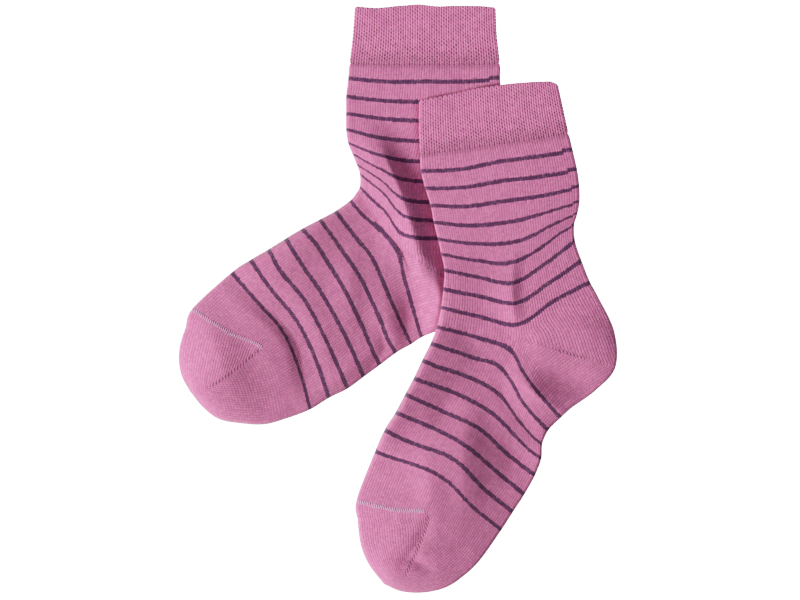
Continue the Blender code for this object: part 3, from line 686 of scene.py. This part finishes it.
def plainHeight(course, aside):
    # every wale is a ridge or a pair of slanted legs, and every course a row of loops
    leg = hump(aside) * (1 - yarn["ridge"]) + (1 - aside) * yarn["ridge"]
    loop = hump((course + aside * yarn["slant"]).calc("FRACT"))
    return leg * (loop * (1 - yarn["loopLow"]) + yarn["loopLow"])


net = dict(
    uneven=0.9, hole=(0.35, 1.05),  # holes of the cuff: how uneven, and where they start
    faintest=0.6, clearBy=(6.0, 14.0),  # how faint near the mouth, and the courses where they clear
    comb=(15.0, 15.6), combHole=(-0.2, 0.9, 0.0, 0.6),  # the last course has a comb of long holes
    rib=0.32, base=0.42,  # height of each wale, and of the fabric
)


def cuffHeight(make, wale, course, aside):
    # ribs less holes: cosine across two wales times cosine along a repeat is 1 at the holes
    acrossTwo = (wale * math.pi).calc("COSINE")
    wave = acrossTwo * (course * (2 * math.pi)).calc("COSINE")
    uneven = make.dice(wale.calc("ROUND"), (course * 2).calc("ROUND"))
    hole = make.ramp(wave + uneven * net["uneven"], *net["hole"])
    hole = hole * make.ramp(course, *net["clearBy"], net["faintest"], 1.0)
    comb = make.ramp(course, *net["comb"]) * make.ramp(acrossTwo, *net["combHole"])
    return (1 - aside * aside) * net["rib"] + net["base"] - hole.calc("MAXIMUM", comb)


band = dict(
    half=1.0,  # half the width of a coloured stripe, in millimetres
    share=0.11,  # and at most this share of the distance between two
    tooth=0.35, ragged=0.3, soft=0.12,  # teeth of the stitches, how uneven and how soft they are
    startWale=55.6, startTurn=0.055,  # where a round starts, and its drift down the leg
    jog=0.1, jogEnd=85.0,  # there the stripe steps by this share, up to that course
    mottle=0.9, paleFrom=0.55, paleTo=1.05,  # painted light: the crowns of the stitches show a paler plum, by their height and by random speckle
)


def stripedColour(make, wale, course, aside, height, speckle):
    # Plum where the distance to the nearest whole stripe number is under half a stripe's width.
    # A round that climbs as a screw meets the next one in a step, which fades out behind it.
    gap = make.attribute("stripeGap")
    start = course * band["startTurn"] + band["startWale"]
    past = wale.calc("GREATER_THAN", start) * course.calc("LESS_THAN", band["jogEnd"])
    left = 1 - (wale - start) / (fabric["needles"] - band["startWale"])
    number = make.attribute("stripe") + past * left * band["jog"]
    near = abs((number + 0.5).calc("FRACT") - 0.5) * gap
    near = near + (aside - 0.5) * band["tooth"] + speckle * band["ragged"]
    half = (gap * band["share"]).calc("MINIMUM", band["half"])
    striped = make.ramp(near - half, -band["soft"], band["soft"], 1.0, 0.0)
    # painted light on the stripes' stitch crowns: paler plum where they stand high, varied by
    # random speckle
    crownLightAndSpeckle = make.ramp(height + speckle * band["mottle"], band["paleFrom"], band["paleTo"])
    return make.mix(striped, yarn["pink"], make.mix(crownLightAndSpeckle, yarn["plum"], yarn["plumCrownLight"]))


gore = dict(
    pitch=1.75, slant=0.7,  # distance between two marks, and their slant
    markStart=(0.15, 0.4), markEnd=(0.6, 0.85),  # shares of the pitch where a mark starts and ends
    core=0.44, half=1.1,  # half widths where the marks are full and where they end
    depth=0.36,  # how dark the painted shade in them is
    start=(0.0, 2.0), end=(28.0, 36.0),  # distances from the corner
    faint=0.35, clear=(17.0, 21.0), faintAgain=(34.0, 38.0),  # the heel's are clear in one stretch
)


def goreMarks(make, striped):
    # slanted dents along the line where the wales of a pocket meet, darkened with painted shade
    along, across = make.attribute("goreAlong"), make.attribute("goreAcross")
    beat = ((along + across * gore["slant"]) / gore["pitch"]).calc("FRACT")
    mark = make.ramp(beat, *gore["markStart"]) * make.ramp(beat, *gore["markEnd"], 1.0, 0.0)
    mark = mark * make.ramp(abs(across), gore["core"], gore["half"], 1.0, 0.0)
    shown = make.ramp(along, *gore["start"]) * make.ramp(along, *gore["end"], 1.0, 0.0)
    if striped:
        clear = make.ramp(along, *gore["clear"]) * make.ramp(along, *gore["faintAgain"], 1.0, 0.0)
        shown = shown * (clear * (1 - gore["faint"]) + gore["faint"])
    return mark * shown


def knitMaterial(kind):
    # kind is "striped", "plain" or "cuff", whose tuck stitches leave a staggered net of holes
    make = Maker(kind + "_knit")
    stitches = make.add("ShaderNodeUVMap", uv_map="stitches")
    wale, course = (make.add("ShaderNodeSeparateXYZ", {0: stitches}, axis) for axis in (0, 1))
    aside = abs(wale.calc("FRACT") - 0.5) * 2  # 0 on the middle of a wale, 1 between two
    waleNumber, courseNumber = wale.calc("FLOOR"), course.calc("FLOOR")
    speckle = make.dice(waleNumber, courseNumber)
    if kind == "cuff":
        height = cuffHeight(make, wale, course, aside)
    else:
        height = plainHeight(course, aside)
    # painted shade and light by stitch height: gaps darker, crowns lighter; speckle, streaks and
    # blotches are random tone
    shade = height * yarn["crownPaintedLight"] + yarn["gapPaintedShade"] + speckle * yarn["stitchSpeckle"]
    shade = shade + make.dice(waleNumber, 3.0) * yarn["waleStreak"]
    shade = shade + (make.noise(yarn["blotchScale"], 3.0) - 0.5) * yarn["blotch"]
    # painted shade, even over the whole toe and the whole cuff
    shade = shade * yarn["kindPaintedShade"][kind]
    # painted shade along the courses: the groove below the cuff and the foot; the cuff darker
    # towards its end
    for step in yarn["shadeSteps"][kind]:
        shade = shade * make.ramp(course, *step)
    colour = yarn["pink"]
    if kind == "striped":
        colour = stripedColour(make, wale, course, aside, height, speckle)
    if kind != "cuff":
        # painted shade in the gore's dents, which also sink the bump
        marks = goreMarks(make, kind == "striped")
        shade, height = shade - marks * gore["depth"], height - marks
    # heathered yarn: its hue and depth wander from stitch to stitch and along the thread
    heather = (make.noise(yarn["heatherScale"]) - 0.5) * 2 + make.dice(courseNumber, waleNumber)
    tint = make.add("ShaderNodeHueSaturation", dict(
        Hue=heather * yarn["hueWander"] + 0.5, Saturation=heather * yarn["depthWander"] + 1,
        Value=shade, Color=colour))
    rough = height + make.noise(yarn["fluffScale"]) * yarn["fluff"]
    bump = dict(Height=rough, Strength=yarn["bump"], Distance=yarn["relief"])
    return make.surface({
        "Base Color": tint, "Normal": make.add("ShaderNodeBump", bump),
        "Roughness": yarn["roughness"], "Specular IOR Level": yarn["gloss"],
        "Sheen Weight": yarn["sheen"], "Sheen Roughness": yarn["sheenRoughness"],
        "Sheen Tint": yarn["sheenTint"],
    })


thread = dict(
    colour=(0.70, 0.42, 0.62, 1), dark=(0.49, 0.294, 0.434, 1), fibreScale=1800.0,
    relief=0.0001, roughness=0.7, sheen=0.3,
    radius=0.23, thinning=0.9, thinnest=0.05,  # the square of the radius falls towards the ends
    reach=1.1, rise=0.16, sink=0.1,  # half length, height over the fabric, depth of the ends
    lowest=0.02, edgeShare=0.002,  # nothing under the table, or beyond the front edge
    stitches=38, sides=6, rings=7,
    firstShare=0.008,  # where the seam starts, as a share of the way to the back
)


def threadMaterial():
    # pale linking thread, with fine fibres across its run
    make = Maker("linking_thread")
    fibres = make.noise(thread["fibreScale"])
    bump = make.add("ShaderNodeBump", dict(Height=fibres, Distance=thread["relief"]))
    return make.surface({
        "Base Color": make.mix(fibres, thread["dark"], thread["colour"]), "Normal": bump,
        "Roughness": thread["roughness"], "Sheen Weight": thread["sheen"],
    })


def wallFaces(piece):
    # the length between rows and the inset, for the outside and for the inside of the wall
    return (piece["step"], 0.0), (piece["innerStep"], fabric["wall"])


def finished(piece, sock, parts):
    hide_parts(*(sock["name"] + "_" + part for part in parts))
    return piece


body = dict(
    step=0.85, innerStep=4.0, columns=240,
    firstRow=2, firstLength=8.0,  # the row where the cuff ends, and the next one's length
    dip=0.3, dipReach=0.9,  # the fabric is drawn in where the cuff is sewn on
)


def makeBody(sock, material):
    # leg, heel and foot in one, from the end of the cuff to the toe seam
    first, heelRow, toeRow = body["firstRow"], fabric["heelRow"], fabric["toeRow"]
    heelEnd = heelRow + fabric["heelRows"]
    corner, goreEnd = np.array(sock["leg"][-1][4:6]), np.array(sock["heel"][1][2:4])
    line = unit(goreEnd - corner)
    grids = []
    for step, inset in wallFaces(body):
        stretches = ((first, heelRow), (heelRow, heelEnd), (heelEnd, toeRow))
        row = np.unique(np.concatenate([evenRows(sock, *ends, step) for ends in stretches]))
        grid = tubeGrid(sock, row, body["columns"], inset)
        out = grid["points"][..., :2] - corner
        stripe = stripeNumber(sock, row, grid["over"], grid["points"])
        grid["values"] = dict(
            stripe=stripe, stripeGap=stripeGap(stripe, grid["points"]),
            goreAlong=out @ line, goreAcross=out @ np.array([-line[1], line[0]]),
        )
        grids.append(grid)
    outer = grids[0]
    fromCuff = (outer["row"] - first) * body["firstLength"]
    dip = body["dip"] * np.exp(-(fromCuff / body["dipReach"]) ** 2)[:, None, None]
    outer["points"] = outer["points"] - outwards(outer["points"]) * dip
    piece = closedShell(sock["name"] + "_striped_knit", *grids, material, (heelRow, heelEnd))
    return finished(piece, sock, ("leg", "heel", "foot"))


toe = dict(step=0.55, innerStep=3.5, columns=240, tipStop=0.12, innerTipStop=1.0)


def makeToe(sock, material):
    # The toe pocket, from the linked seam to the tip. Its wales are counted from the edges, so
    # they meet in a mitre on the gore line, which is the side line here.
    tipRow, half = fabric["tipRow"], fabric["needles"] / 2
    grids = []
    for (step, inset), stop in zip(wallFaces(toe), (toe["tipStop"], toe["innerTipStop"])):
        row = evenRows(sock, fabric["toeRow"], tipRow - stop, step)
        grid = tubeGrid(sock, row, toe["columns"], inset)
        places = crossings(sock, row)[0]
        width, run = measured(places)[:, -1:], measured(places[:, 2])[:, None]
        share = np.append(grid["share"], 0.0)
        fromNearer = np.minimum(share, 1 - share) * half * width / width[0]
        grid["wale"] = np.where(grid["turn"] <= 1, fromNearer, -fromNearer)
        bend = sock["goreBend"] * run ** 2
        grid["values"] = dict(
            goreAlong=np.broadcast_to(run, grid["points"].shape[:2]),
            goreAcross=(0.5 - grid["share"]) * width + bend,
        )
        grids.append(grid)
    tip = clothFace(sock, np.array([float(tipRow)]), grids[0]["share"], grids[0]["over"])
    tips = np.array([tip.mean(axis=(0, 1)), grids[1]["points"][-1].mean(axis=0)])
    piece = closedShell(sock["name"] + "_toe_knit", *grids, material, tipPoints=tips)
    return finished(piece, sock, ("toe",))


def makeSeam(sock, material):
    # linking stitches over the toe, round its front edge: short slanted tubes whose ends dip in
    count = thread["stitches"]
    shares = np.linspace(thread["firstShare"], sock["seamEnd"], count)[:, None]
    across = np.linspace(-1, 1, thread["rings"])
    ring = (np.arange(thread["sides"]) * 2 * np.pi / thread["sides"])[:, None]
    toeRow = float(fabric["toeRow"])
    places = crossings(sock, toeRow + np.array([-1.0, 0.0, 1.0]))[0]
    before, after = length(places[1] - places[0]), length(places[2] - places[1])
    knot = np.minimum((shares * 4).astype(int), 3)
    rowLength = np.where(across < 0, before[knot], after[knot])
    row = (toeRow + across * thread["reach"] / rowLength).ravel()
    at = np.clip(shares + across * sock["seamSlant"], thread["edgeShare"], 1).reshape(-1, 1)
    thick = np.sqrt(np.maximum(1 - thread["thinning"] * across ** 6, thread["thinnest"]))
    thick = thread["radius"] * thick[:, None, None]
    tubes = []
    for over in (True, False):
        spots = clothFace(sock, row, at, np.array([over])).reshape(count, -1, 3)
        rise = thread["rise"] * (1 - across ** 4) * over - thread["sink"]
        spots[..., 2] += rise if over else -rise
        along = unit(np.gradient(spots, axis=1))
        sideways = unit(np.cross(along, [0, 0, 1.0]))
        up = np.cross(sideways, along)
        rounds = sideways[:, :, None] * np.cos(ring) + up[:, :, None] * np.sin(ring)
        tubes.append(spots[:, :, None] + thick * rounds)
    points = np.concatenate(tubes).reshape(-1, 3)
    points[:, 2] = np.maximum(points[:, 2], thread["lowest"])
    faces = []
    for ids in np.arange(len(points)).reshape(-1, thread["rings"], thread["sides"]):
        for block, _, _ in gridFaces(ids):
            faces += block[:, ::-1].tolist()
        faces += [ids[0].tolist(), ids[-1][::-1].tolist()]
    piece = addPiece(sock["name"] + "_toe_seam", points, faces, material)
    print(piece.name, len(faces), "faces")
    return piece


cuff = dict(
    step=0.27, innerStep=3.0, columns=480, repeats=16,
    lastRow=2.0, rowLength=13.0,  # where it ends, and the length of one row
    relief=0.04, rib=0.07, hole=0.18, holeFrom=0.5,
    comb=(15.3, 15.7), combHole=(-0.2, 0.9),  # a comb of deeper holes along the end
    dip=0.4, dipReach=1.0,  # it is drawn in there
    loops=0.25, lipSteps=5,  # how far the loops of the rounded lip stand out, and its rows
    waveReach=8.0,  # the waves of the mouth die away over this distance
)


def makeCuff(sock, material):
    # Turned cuff in tuck stitch, with a staggered net of dimples and a rounded lip. Relief =
    # cosine across two wales times cosine along a repeat of the rows.
    last, rowLength, columns = cuff["lastRow"], cuff["rowLength"], cuff["columns"]
    outer, inner = (tubeGrid(sock, evenRows(sock, 0.0, last, step), columns, inset, even=True)
                    for step, inset in wallFaces(cuff))
    middle = crossings(sock, np.array([0.0, 1.0]))[0][:, 2]
    upwards, waves = unit(middle[0] - middle[1]), np.array(sock["mouth"])
    for grid in (outer, inner):
        row = grid["row"][:, None]
        grid["course"] = np.broadcast_to(row / last * cuff["repeats"], grid["wale"].shape)
        wave = splineAt(waves, grid["share"]) * np.exp(-row * rowLength / cuff["waveReach"])
        grid["points"][..., :2] += wave[..., None] * upwards
    wale, course = outer["wale"][:, :-1], outer["course"][:, :-1]
    acrossTwo = np.cos(np.pi * wale)
    wave = acrossTwo * np.cos(2 * np.pi * course)
    deep = easeBetween(wave, cuff["holeFrom"], 1)
    comb = easeBetween(course, *cuff["comb"]) * easeBetween(acrossTwo, *cuff["combHole"])
    relief = -cuff["relief"] * wave - cuff["hole"] * np.maximum(deep, comb)
    relief -= cuff["rib"] * np.cos(2 * np.pi * wale)
    fromEnd = (last - outer["row"]) * rowLength
    relief -= cuff["dip"] * np.exp(-(fromEnd / cuff["dipReach"]) ** 2)[:, None]
    outer["points"] = outer["points"] + outwards(outer["points"]) * relief[..., None]
    # the lip: half circles from the inside over to the outside, in front of the first rows
    top, bottom = outer["points"][0], inner["points"][0]
    ahead, half = unit(top - outer["points"][3]), (top - bottom) / 2
    turn = np.linspace(np.pi, 0, cuff["lipSteps"] + 2)[1:-1, None, None]
    reach = length(half) * (1 + cuff["loops"] * np.cos(2 * np.pi * wale[0]))
    lip = (top + bottom) / 2 + half * np.cos(turn) + ahead * reach[:, None] * np.sin(turn)
    outer["points"] = np.concatenate([lip, outer["points"]])
    for key in ("wale", "course", "row"):
        outer[key] = np.concatenate([np.repeat(outer[key][:1], len(lip), axis=0), outer[key]])
    piece = closedShell(sock["name"] + "_cuff_knit", outer, inner, material)
    return finished(piece, sock, ("cuff",))


kinds = {kind: knitMaterial(kind) for kind in ("striped", "plain", "cuff")}
linking = threadMaterial()
lowerPieces = ["lower_sock_striped_knit", "lower_sock_cuff_knit"]
for sock, under in ((lowerSock, []), (upperSock, lowerPieces)):
    bodyPiece, toePiece = makeBody(sock, kinds["striped"]), makeToe(sock, kinds["plain"])
    seamPiece, cuffPiece = makeSeam(sock, linking), makeCuff(sock, kinds["cuff"])
    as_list(under[:1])
    print(sock["name"], "is made")


studio = dict(
    floorWidth=8.0, floorDrop=0.0002, floorColour=(0.05, 0.05, 0.05, 1),
    tableLight=0.85, tableSeen=3.2,  # how bright the table is for the socks, and to the eye
    keyHeading=197.0, keyHeight=30.5, keyDistance=4.0, keySize=1.3, keyPower=258.0,
    ambient=0.22, ambientTint=(0.87, 0.65, 0.9, 1),
    tone=1.527, toneWhite=3.0,  # seen = 1 - exp(-tone x light), scaled to 1 at toneWhite
    tonePoints=(0.03, 0.07, 0.12, 0.18, 0.26, 0.36, 0.5, 0.7),  # shares of toneWhite
    cameraPlace=(0.00097, -0.0003, 2.4), seenWidth=0.3784, filmWidth=36.0, farthest=20.0,
)


def tableMaterial():
    # an even white that lights the socks from below like paper, and is seen as pure white
    make = Maker("lit_table")
    seen = make.add("ShaderNodeLightPath", output="Is Camera Ray")
    gain = studio["tableSeen"] - studio["tableLight"]
    return make.surface({
        "Emission Strength": seen * gain + studio["tableLight"], "Emission Color": (1, 1, 1, 1),
        "Base Color": studio["floorColour"], "Specular IOR Level": 0.0, "Roughness": 1.0,
    })


def filmTone():
    # a film's soft response: bright colours pale and dark ones deepen
    view = bpy.context.scene.view_settings
    view.view_transform = "Standard"
    view.use_curve_mapping = True
    mapping = view.curve_mapping
    mapping.white_level = (studio["toneWhite"],) * 3
    strength = studio["tone"] * studio["toneWhite"]
    for share in studio["tonePoints"]:
        seen = (1 - math.exp(-strength * share)) / (1 - math.exp(-strength))
        mapping.curves[3].points.new(share, seen)
    mapping.update()


def makeStudio():
    # a lit white table, one broad lamp low on the left, and even light from all round
    half, down = studio["floorWidth"] / 2, -studio["floorDrop"]
    corners = [(-half, -half, down), (half, -half, down), (half, half, down), (-half, half, down)]
    floor = bpy.data.meshes.new("floor")
    floor.from_pydata(corners, [], [(0, 1, 2, 3)])
    floor.materials.append(tableMaterial())
    addObject("floor", floor)
    lamp = bpy.data.lights.new("key", "AREA")
    lamp.shape, lamp.size, lamp.energy = "DISK", studio["keySize"], studio["keyPower"]
    heading, height = math.radians(studio["keyHeading"]), math.radians(studio["keyHeight"])
    level, distance = math.cos(height), studio["keyDistance"]
    place = (level * math.cos(heading), level * math.sin(heading), math.sin(height))
    key = addObject("key", lamp, [distance * part for part in place])
    key.rotation_euler = (math.pi / 2 - height, 0, heading + math.pi / 2)
    world = bpy.data.worlds.new("studio")
    world.use_nodes = True
    background = world.node_tree.nodes["Background"]
    background.inputs["Color"].default_value = studio["ambientTint"]
    background.inputs["Strength"].default_value = studio["ambient"]
    bpy.context.scene.world = world
    camera = bpy.data.cameras.new("camera")
    camera.sensor_width, camera.clip_end = studio["filmWidth"], studio["farthest"]
    camera.lens = studio["filmWidth"] * studio["cameraPlace"][2] / studio["seenWidth"]
    bpy.context.scene.camera = addObject("camera", camera, studio["cameraPlace"])
    filmTone()


makeStudio()
